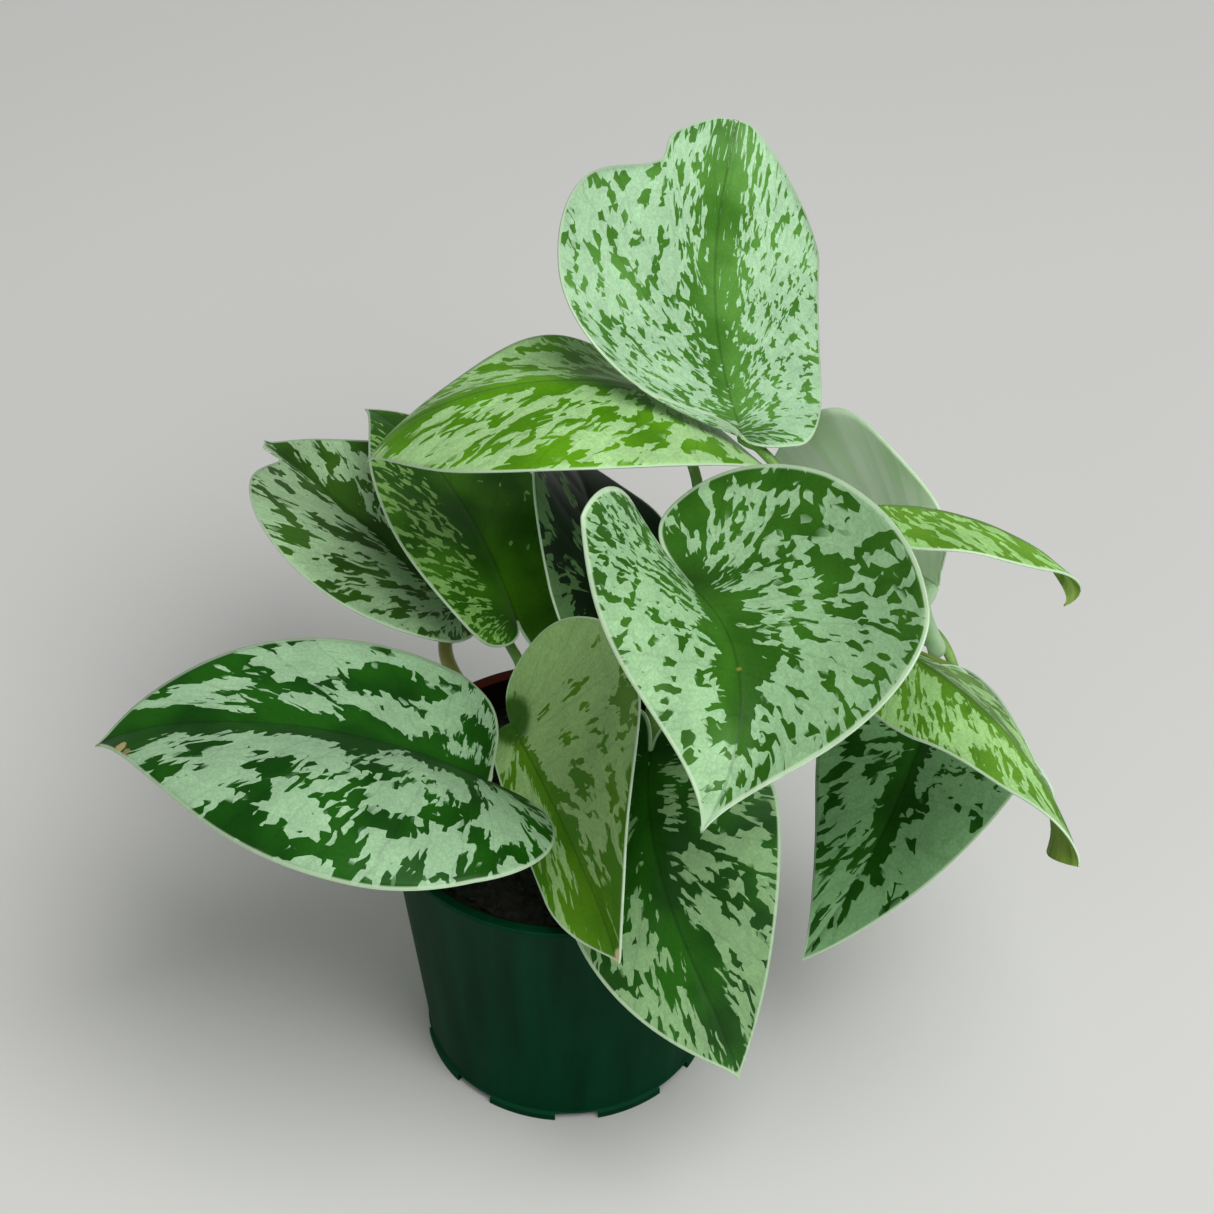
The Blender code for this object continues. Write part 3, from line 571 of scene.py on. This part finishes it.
def addSpots(tree, colour, flat, spots):
    # small dry or scarred places, and dark places of painted shade at the base: x and y in mm on the flat blade, radius
    # in mm and colour
    for x, y, radius, tone in spots:
        wobble = addNode(tree, "TexNoise", {**planar, "Scale": 70.0, "Detail": 2.0}, flat)
        away = addNode(tree, "VectorMath", {"operation": "DISTANCE", 1: (x / mapUnit, y / mapUnit, 0)}, flat)
        ragged = addNode(tree, "Math", {"operation": "MULTIPLY_ADD", 1: -1.2 / mapUnit, 2: 0.6 / mapUnit}, wobble)
        distance = addNode(tree, "Math", {"operation": "ADD"}, (away, ragged))
        inside = addNode(tree, "MapRange",
                         {**smooth, "span": (0.6 * radius / mapUnit, radius / mapUnit, 0.95, 0.0)}, distance)
        colour = addNode(tree, "Mix", {"data_type": "RGBA", 7: linearColour(tone)}, {0: inside, 6: colour})
    return colour


def underSurface(name, leaf):
    # the matt underside: grey-green, with the raised midrib and the side veins a fresher green
    made, tree, shader = newMaterial(name + " matt underside")
    veins, flat = [addNode(tree, "UVMap", {"uv_map": layer}) for layer in ("veinMap", "leafMap")]
    streakScale = mapScale(marks["underLong"], marks["underWide"])
    streakSpace = addNode(tree, "Mapping", {"Location": (leaf["seed"], 0, 0), "Scale": streakScale}, veins)
    streaks = addNode(tree, "TexNoise", {**planar, "Scale": 1.0, "Detail": 3.0}, streakSpace)
    tones = addNode(tree, "ValToRGB", {"stops": ((0.35, leaf["underGreen"]), (0.58, leaf["underTone"]))}, streaks)
    fromRib, fromVein = veinPlaces(tree, flat, veins)
    ribMix = addNode(tree, "MapRange", {**smooth, "span": (0.6 / mapUnit, 1.6 / mapUnit, 0.7, 0.0)}, fromRib)
    veinMix = addNode(tree, "MapRange", {**smooth, "span": (0.0, 0.1, 0.25, 0.0)}, fromVein)
    bothVeins = addNode(tree, "Math", {"operation": "MAXIMUM"}, (ribMix, veinMix))
    colour = addNode(tree, "Mix", {"data_type": "RGBA", 7: linearColour(leaf["underVein"])}, {0: bothVeins, 6: tones})
    bump = addNode(tree, "Bump", {"Strength": 0.3, "Distance": 0.15 * mm}, {"Height": streaks})
    setNode(tree, shader, {"Roughness": 0.58}, {"Base Color": colour, "Normal": bump})
    return made


# the bare edge of the blade is pale and dry
rimSurface = cloudedSurface("pale leaf margin", 1 / (6 * mm), 2.0, ("B4D8AC", "DDF2D6"), 0.45)
for leafName in leaves:
    leafBlade(leafName)
print("leaves:", len(leaves))


# Each stem is a route of given points. A petiole leaves it at a share of its length, goes by its own points
# and runs out along the midrib under its blade. Radii are in mm.
stems = {
    "uprightStem": {
        "node": "stem_upright", "route": ((24, 12, 60), (24, 12, 90), (26, 14, 118), (31, 19, 146), (36, 25, 168)),
        "radii": (3.0, 2.3),
        "petioles": {
            "darkMiddleLeaf": {"at": 0.40, "by": ((17, 22, 117), (8, 32, 124))},
            "upperRightLeaf": {"at": 0.72, "by": ((44, 14, 176),)},
            "frontHeartLeaf": {"at": 0.80, "by": ((36, -2, 182),)},
            "upperLeftLeaf": {"at": 0.97, "by": ((38, 36, 184),)},
            "topLeaf": {"at": 0.90, "by": ((54, 18, 184), (61, 22, 200)), "sideOn": (-7, 3.5, 2)},
        },
    },
    "rightStem": {
        "node": "stem_right",
        "route": ((30, -2, 60), (30, -2, 90), (38, 4, 104), (56, 18, 116), (76, 31, 126), (92, 39, 129)),
        "radii": (3.0, 2.4),
        "petioles": {
            "hangingFrontLeaf": {"at": 0.28, "by": ((30, -6, 118),)},
            "lowerRightLeaf": {"at": 0.78, "by": ((82, 18, 142),)},
            "paleUndersideLeaf": {"at": 0.98, "by": ((105, 32, 131), (106, 12, 146)), "radii": (2.7, 2.5), "tone": 1},
            "hangingRightLeaf": {"at": 0.93, "by": ((106, 40, 127),)},
        },
    },
    "leftStem": {
        "node": "stem_left", "route": ((-4, 14, 60), (-4, 14, 90), (-8, 17, 102), (-12, 21, 111)),
        "radii": (2.8, 2.3),
        "petioles": {
            "lowLeftLeaf": {"at": 0.62, "by": ((-24, 6, 106), (-27, -14, 117))},
            "foldedFrontLeaf": {"at": 0.80, "by": ()},
            "middleLeftLeaf": {"at": 0.96, "by": ((-13, 31, 119),)},
        },
    },
    "backLeftStem": {
        "node": "stem_back_left", "route": ((-23, 30, 60), (-23, 30, 90), (-25.5, 34, 99.5)),
        "radii": (2.6, 2.3),
        "petioles": {
            "backLeftLeaf": {
                "at": 0.92, "by": ((-34, 45, 103), (-36.5, 54, 106.5)), "radii": (2.4, 1.9), "sideOn": (2, 3, 8),
                "tone": 2,
            },
        },
    },
}

# sheath and knee swell a petiole at its base and under its blade, and have their place as a share, height and breadth.
# ring is the height and breadth of a node ring, and midrib has distances along the blade with the width left there.
petiole = {
    "radii": (1.8, 1.3), "seat": 2.0, "gap": 0.8, "lean": 0.35, "approach": 6.0, "steps": 12,
    "sheath": (0, 0.9, 0.1), "knee": (0.9, 0.28, 0.07), "ring": (0.35, 0.025),
    "midrib": ((4.5, 0.8), (8, 0.55), (13, 0.42), (20, 0.3)), "midribSink": 0.62,
}


def smoothRoute(route):
    points = [Vector(p) for p in route]
    path = []
    for index in range(len(points) - 1):
        start, stop = points[index], points[index + 1]
        before = points[max(index - 1, 0)]
        after = points[min(index + 2, len(points) - 1)]
        handle = (stop - start).length / 3
        leave = start + (stop - before).normalized() * handle
        arrive = stop - (after - start).normalized() * handle
        for step in range(petiole["steps"]):
            path.append(bezier(start, leave, arrive, stop, step / petiole["steps"]))
    path.append(points[-1])
    return path


def placeOn(path, share):
    place = share * (len(path) - 1)
    step = min(int(place), len(path) - 2)
    return path[step].lerp(path[step + 1], place - step)


def tube(points, radii):
    # a round tube through the points, with a radius for each
    curve = bpy.data.curves.new("tube", "CURVE")
    curve.dimensions = "3D"
    curve.bevel_depth = 1.0
    curve.bevel_resolution = 6
    curve.use_fill_caps = True
    spline = curve.splines.new("POLY")
    spline.points.add(len(points) - 1)
    for index, spot in enumerate(points):
        spline.points[index].co = (*(spot * mm), 1)
        spline.points[index].radius = radii[index] * mm
    guide = addObject("tube", curve)
    mesh = evaluatedMesh(guide)
    bpy.data.objects.remove(guide, do_unlink=True)
    return mesh


def petiolePath(stemPath, leafName, settings):
    leaf = {**leafBasics, **leaves[leafName]}
    radii = settings.get("radii", petiole["radii"])
    along, _, normal = ribFrame(leaf, 0)
    roof = -min(0, *leaf["fold"])
    arrival = Vector(settings["sideOn"]) if "sideOn" in settings else normal + along * petiole["lean"]
    arrival.normalize()
    tilt = arrival.cross(normal).length + math.tan(math.radians(roof))
    end = Vector(leaf["base"]) + along * petiole["seat"] - normal * (petiole["gap"] + radii[1] * tilt)
    start = placeOn(stemPath, settings["at"])
    path = smoothRoute((start, *settings["by"], end - arrival * petiole["approach"], end))
    last = len(path) - 1
    widths = []
    for index in range(len(path)):
        share = index / last
        width = radii[0] + (radii[1] - radii[0]) * share
        widths.append(width + hump(share, *petiole["sheath"]) + hump(share, *petiole["knee"]))
    # the petiole runs on as the midrib, sunk in the underside
    rib = ribPoints(leaf)
    for reach, share in petiole["midrib"]:
        where = reach / leaf["length"]
        _, _, up = ribFrame(leaf, where)
        path.append(onRib(rib, where) - up * (petiole["midribSink"] + 0.5 * radii[1] * share))
        widths.append(radii[1] * share)
    return path, widths


def stemPiece(name):
    stem = stems[name]
    path = smoothRoute(stem["route"])
    last = len(path) - 1
    start, stop = stem["radii"]
    widths = []
    for index in range(len(path)):
        share = index / last
        width = start + (stop - start) * share
        for settings in stem["petioles"].values():
            width += hump(share, settings["at"], *petiole["ring"])
        widths.append(width)
    shape = bmesh.new()
    shape.from_mesh(tube(path, widths))
    for leafName, settings in stem["petioles"].items():
        known = set(shape.faces)
        shape.from_mesh(tube(*petiolePath(path, leafName, settings)))
        for face in shape.faces:
            if face not in known:
                face.material_index = settings.get("tone", 0)
    piece = objectFrom(name, shape)
    for surface in stemSurfaces:
        piece.data.materials.append(surface)
    shadeSmooth(piece, 50)
    finishPiece(piece, stem["node"])


def stemSurface(name, dark, light, scar):
    # smooth living skin, softly clouded and flecked with pale pores
    made, tree, shader = newMaterial(name)
    place = addNode(tree, "TexCoord", {}).outputs["Object"]
    clouds = addNode(tree, "TexNoise", {"Scale": 1 / (11 * mm), "Detail": 3.0}, place)
    tones = addNode(tree, "ValToRGB", {"stops": ((0.35, dark), (0.65, light))}, clouds)
    pores = addNode(tree, "TexVoronoi", {"Scale": 1 / (1.4 * mm)}, place)
    poreMix = addNode(tree, "MapRange", {"span": (0.12, 0.2, 0.55, 0.0)}, pores)
    colour = addNode(tree, "Mix", {"data_type": "RGBA", 7: linearColour(scar)}, {0: poreMix, 6: tones})
    bump = addNode(tree, "Bump", {"Strength": 0.25, "Distance": 0.2 * mm}, {"Height": clouds})
    setNode(tree, shader, {"Roughness": 0.42}, {"Base Color": colour, "Normal": bump})
    return made


stemSurfaces = (
    stemSurface("green petiole skin", "4E7A2A", "7FA852", "9DBF78"),
    stemSurface("pale petiole skin", "9CC592", "BBDDAF", "D4EBCB"),
    stemSurface("olive petiole skin", "6F6B34", "93924E", "A8A470"),
)
for stemName in stems:
    stemPiece(stemName)
print("stems:", len(stems))


# notchOver is how far a notch's cutter goes past the foot, and sharp the angle in degrees from which an edge is rounded
pot = {
    "height": 98.0, "rimRadius": 54.0, "rimHeight": 2.6, "overhang": 1.8, "lipSlope": 0.3, "footRadius": 43.6,
    "footHeight": 3.2, "ledge": 0.9, "ledgeSlope": 0.6, "wall": 1.5, "floorTop": 1.6, "sides": 160,
    "edge": 0.3, "edgeSegments": 3, "sharp": 25,
    "notches": 8, "notchWidth": 13.0, "notchHeight": 2.9, "notchTurn": -86.0, "notchInner": 36.5, "notchOver": 2,
    "innerShadeLow": 84.0, "innerShadeHigh": 89.0,
}


def wallRadius(height):
    foot = pot["footRadius"] - pot["ledge"]
    top = pot["rimRadius"] - pot["overhang"]
    share = (height - pot["footHeight"]) / (pot["height"] - pot["rimHeight"] - pot["footHeight"])
    return foot + (top - foot) * share


def spunShape(profile, sides):
    shape = bmesh.new()
    verts = [shape.verts.new((radius * mm, 0, height * mm)) for radius, height in profile]
    edges = [shape.edges.new(pair) for pair in zip(verts, verts[1:])]
    bmesh.ops.spin(shape, geom=verts + edges, cent=(0, 0, 0), axis=(0, 0, 1), angle=math.tau, steps=sides,
                   use_merge=True)
    bmesh.ops.remove_doubles(shape, verts=shape.verts, dist=0.01 * mm)
    bmesh.ops.recalc_face_normals(shape, faces=shape.faces)
    return shape


def potPiece():
    foot, top, floorTop = pot["footRadius"], pot["height"], pot["floorTop"]
    lipLow = top - pot["rimHeight"]
    innerTop = wallRadius(lipLow) - pot["wall"]
    profile = (
        (0, 0), (foot, 0), (foot, pot["footHeight"] - pot["ledgeSlope"]), (foot - pot["ledge"], pot["footHeight"]),
        (wallRadius(lipLow), lipLow), (pot["rimRadius"], lipLow + pot["lipSlope"]), (pot["rimRadius"], top),
        (innerTop, top), (innerTop, lipLow), (wallRadius(floorTop) - pot["wall"], floorTop), (0, floorTop),
    )
    shape = spunShape(profile, pot["sides"])
    corners = [e for e in shape.edges if e.is_manifold and e.calc_face_angle() > math.radians(pot["sharp"])]
    bmesh.ops.bevel(shape, geom=corners, offset=pot["edge"] * mm, offset_type="OFFSET", affect="EDGES",
                    segments=pot["edgeSegments"], profile=0.5, material=-1)
    piece = objectFrom("nurseryPot", shape)
    reach = foot + pot["notchOver"] - pot["notchInner"]
    middle = pot["notchInner"] + reach / 2
    size = Vector((reach, pot["notchWidth"], 2 * pot["notchHeight"])) * mm
    for index in range(pot["notches"]):
        turn = Matrix.Rotation(math.radians(pot["notchTurn"] + index * 360 / pot["notches"]), 3, "Z")
        cutter = bmesh.new()
        bmesh.ops.create_cube(cutter, size=1)
        bmesh.ops.scale(cutter, verts=cutter.verts, vec=size)
        bmesh.ops.translate(cutter, verts=cutter.verts, vec=Vector((middle, 0, 0)) * mm)
        bmesh.ops.rotate(cutter, verts=cutter.verts, cent=(0, 0, 0), matrix=turn)
        tool = objectFrom("notch", cutter)
        step = piece.modifiers.new("notch", "BOOLEAN")
        step.operation = "DIFFERENCE"
        step.solver = "EXACT"
        step.object = tool
        result = evaluatedMesh(piece)
        piece.modifiers.clear()
        piece.data = result
        bpy.data.objects.remove(tool, do_unlink=True)
    piece.data.materials.clear()
    piece.data.materials.append(potSurface())
    shadeSmooth(piece, 30)
    finishPiece(piece, "pot")


def potSurface():
    # injection-moulded polypropylene: a deep satin green with faint flow lines down the wall and a fine grain
    made, tree, shader = newMaterial("moulded green polypropylene")
    place = addNode(tree, "TexCoord", {}).outputs["Object"]
    flowSpace = addNode(tree, "Mapping", {"Scale": (1 / (9 * mm), 1 / (9 * mm), 1 / (160 * mm))}, place)
    flow = addNode(tree, "TexNoise", {"Scale": 1.0, "Detail": 3.0}, flowSpace)
    colour = addNode(tree, "ValToRGB", {"stops": ((0.3, "022B16"), (0.7, "043A21"))}, flow)
    dust = addNode(tree, "TexNoise", {"Scale": 1 / (30 * mm), "Detail": 5.0, "Roughness": 0.65}, place)
    dusty = addNode(tree, "MapRange", {"span": (0.5, 0.8, 0.0, 0.08)}, dust)
    layers = [(dusty, "2C5640")]

    # painted highlight: the ledge over the foot and the edges of the lip are painted a lighter green, as if they catch
    # the light
    parts = addNode(tree, "SeparateXYZ", {}, place)
    height = parts.outputs["Z"]
    for low, high in ((pot["footHeight"] - 1.0, pot["footHeight"] + 0.3), (pot["height"] - 0.5, pot["height"] - 0.1)):
        off = addNode(tree, "Math", {"operation": "SUBTRACT", 1: (low + high) / 2 * mm}, height)
        away = addNode(tree, "Math", {"operation": "ABSOLUTE"}, off)
        reach = (high - low) * mm
        layers.append((addNode(tree, "MapRange", {**smooth, "span": (0.3 * reach, 0.55 * reach, 0.4, 0.0)}, away),
                       "185038"))

    # painted shade darkens the inside wall above the soil almost to black, and the top of the lip is reddish brown on
    # its back half
    level = addNode(tree, "VectorMath", {"operation": "MULTIPLY", 1: (1, 1, 0)}, place)
    radius = addNode(tree, "VectorMath", {"operation": "LENGTH"}, level)
    taper = (wallRadius(pot["height"]) - wallRadius(0)) / pot["height"]
    untapered = addNode(tree, "Math", {"operation": "MULTIPLY_ADD", 1: -taper}, {0: height, 2: radius})
    for ranges, tone in (
        (((untapered, wallRadius(0) - 1.3, wallRadius(0) - 0.9, 0.92, 0.0),
          (height, pot["innerShadeLow"], pot["innerShadeHigh"], 0.0, 1.0)), "170B08"),
        (((parts.outputs["Y"], 0.0, 30, 0.0, 0.8),
          (height, pot["height"] - 0.7, pot["height"] - 0.2, 0.0, 1.0)), "6E2E2A"),
    ):
        shares = [addNode(tree, "MapRange", {**smooth, "span": (low * mm, high * mm, least, most)}, source)
                  for source, low, high, least, most in ranges]
        layers.append((addNode(tree, "Math", {"operation": "MULTIPLY"}, tuple(shares)), tone))
    for share, tone in layers:
        colour = addNode(tree, "Mix", {"data_type": "RGBA", 7: linearColour(tone)}, {0: share, 6: colour})
    rough = addNode(tree, "MapRange", {"To Min": 0.34, "To Max": 0.5}, dust)
    grain = addNode(tree, "TexNoise", {"Scale": 1 / (0.9 * mm), "Detail": 1.0}, place)
    bump = addNode(tree, "Bump", {"Strength": 0.12, "Distance": 0.1 * mm}, {"Height": grain})
    # the gloss is low, as the pale floor mirrors in the wall
    setNode(tree, shader, {"IOR": 1.49, "Specular IOR Level": 0.02},
            {"Base Color": colour, "Roughness": rough, "Normal": bump})
    return made


potPiece()
print("pot")


# The top is domed by crown and falls by edgeDip at its edge. The crumbs' long, flat and dented are ranges of scale.
soil = {
    "top": 88.0, "crown": 2.0, "edgeDrop": 1, "edgeDip": 0.4, "footInset": 1, "gap": 0.3, "sides": 96, "rings": 22,
    "rough": 0.9, "roughFrom": 0.9, "lumpSize": 7, "fade": 3,
    "crumbs": 320, "crumbRadius": (0.5, 1.5), "dented": (0.65, 1.2), "long": (0.8, 1.8), "flat": (0.5, 0.9),
    "lean": 0.6, "fromWall": 2.5, "lift": 0.2, "seed": 5,
}


def soilPiece():
    top, gap = soil["top"], soil["gap"]
    foot = pot["floorTop"] + gap
    clear = pot["wall"] + gap
    edge = top - soil["edgeDrop"]
    rimRadius = wallRadius(edge) - clear
    profile = [(0, foot), (wallRadius(foot) - clear - soil["footInset"], foot), (rimRadius, edge)]
    for ring in range(1, soil["rings"] + 1):
        share = 1 - ring / soil["rings"]
        profile.append((rimRadius * share, top + soil["crown"] * (1 - share**2) - soil["edgeDip"] * share**8))
    shape = spunShape(profile, soil["sides"])
    for vert in shape.verts:
        if vert.co.z > (top - soil["roughFrom"]) * mm:
            lump = noise.fractal(vert.co / (soil["lumpSize"] * mm), 1.0, 2.0, 4)
            edgeFade = min(1, (rimRadius - vert.co.xy.length / mm) / soil["fade"])
            vert.co.z += soil["rough"] * lump * edgeFade * mm
    dice = random.Random(soil["seed"])
    for index in range(soil["crumbs"]):
        known = set(shape.verts)
        bmesh.ops.create_icosphere(shape, subdivisions=1, radius=dice.uniform(*soil["crumbRadius"]) * mm)
        crumb = [v for v in shape.verts if v not in known]
        for vert in crumb:
            vert.co *= dice.uniform(*soil["dented"])
        bmesh.ops.scale(shape, verts=crumb, vec=(dice.uniform(*soil["long"]), 1, dice.uniform(*soil["flat"])))
        spin = Matrix.Rotation(dice.uniform(0, math.tau), 3, "Z")
        turn = spin @ Matrix.Rotation(dice.uniform(-soil["lean"], soil["lean"]), 3, "X")
        bmesh.ops.rotate(shape, verts=crumb, cent=(0, 0, 0), matrix=turn)
        radius = (rimRadius - soil["fromWall"]) * math.sqrt(dice.random())
        angle = dice.uniform(0, math.tau)
        height = top + soil["crown"] * (1 - (radius / rimRadius) ** 2) + soil["lift"]
        spot = Vector((radius * math.cos(angle), radius * math.sin(angle), height)) * mm
        bmesh.ops.translate(shape, verts=crumb, vec=spot)
    piece = objectFrom("pottingSoil", shape)
    piece.data.materials.append(soilSurface())
    shadeSmooth(piece, 35)
    finishPiece(piece, "soil")


def soilSurface():
    # moist peat and bark fines, their dark brown taken almost to black with painted shade, with reddish brown grains
    # and a dull wet glint
    made, tree, shader = newMaterial("moist peat potting mix")
    place = addNode(tree, "TexCoord", {}).outputs["Object"]
    grains = addNode(tree, "TexVoronoi", {"Scale": 1 / (1.8 * mm)}, place)
    grainParts = addNode(tree, "SeparateColor", {}, grains.outputs["Color"])
    tones = addNode(tree, "ValToRGB", {"stops": ((0, "0A0605"), (1, "261711"), (0.75, "130B08"))}, grainParts)
    rough = addNode(tree, "MapRange", {"To Min": 0.6, "To Max": 0.95}, grainParts.outputs[1])
    bump = addNode(tree, "Bump", {"Strength": 0.6, "Distance": 0.6 * mm}, {"Height": grains})
    setNode(tree, shader, {}, {"Base Color": tones, "Roughness": rough, "Normal": bump})
    return made


soilPiece()
print("soil")


# Each light has its power in watts, its width and its place in metres, and points at aim.
stage = {
    "floorSize": 24.0, "floorTones": ("DEDEDB", "E4E4E1"), "world": 0.24, "aim": (0.01, 0.02, 0.13),
    "lights": {
        "keyLight": (23.5, 1.3, (0.55, -0.55, 1.7)),
        "leftFill": (29.0, 4.2, (-3.02, -3.64, 2.14)),
        "rightFill": (50.0, 2.7, (3.88, -2.89, 1.09)),
    },
}


def studio():
    shape = bmesh.new()
    bmesh.ops.create_grid(shape, x_segments=2, y_segments=2, size=stage["floorSize"] / 2)
    floor = objectFrom("floor", shape)
    floor.data.materials.append(cloudedSurface("pale matt studio floor", 3.0, 3.0, stage["floorTones"], 0.8))
    for name, (power, size, spot) in stage["lights"].items():
        data = bpy.data.lights.new(name, "AREA")
        data.shape = "DISK"
        data.size = size
        data.energy = power
        lamp = addObject(name, data)
        lamp.location = spot
        aim = Vector(stage["aim"]) - Vector(spot)
        lamp.rotation_euler = aim.to_track_quat("-Z", "Y").to_euler()
    world = bpy.data.worlds.new("studio")
    bpy.context.scene.world = world
    world.use_nodes = True
    setNode(world.node_tree, world.node_tree.nodes["Background"],
            {"Color": (1, 1, 1, 1), "Strength": stage["world"]}, {})
    bpy.context.scene.view_settings.view_transform = "Standard"


view = {"lens": 106.9, "sensor": 36.0, "spot": (0.0122, -0.7193, 0.8684), "tilt": 46.0}


def photoCamera():
    data = bpy.data.cameras.new("photoCamera")
    data.lens = view["lens"]
    data.sensor_width = view["sensor"]
    data.clip_start = 0.01
    camera = addObject("photoCamera", data)
    camera.location = view["spot"]
    camera.rotation_euler = (math.radians(view["tilt"]), 0, 0)
    bpy.context.scene.camera = camera


studio()
photoCamera()
print("studio and camera")
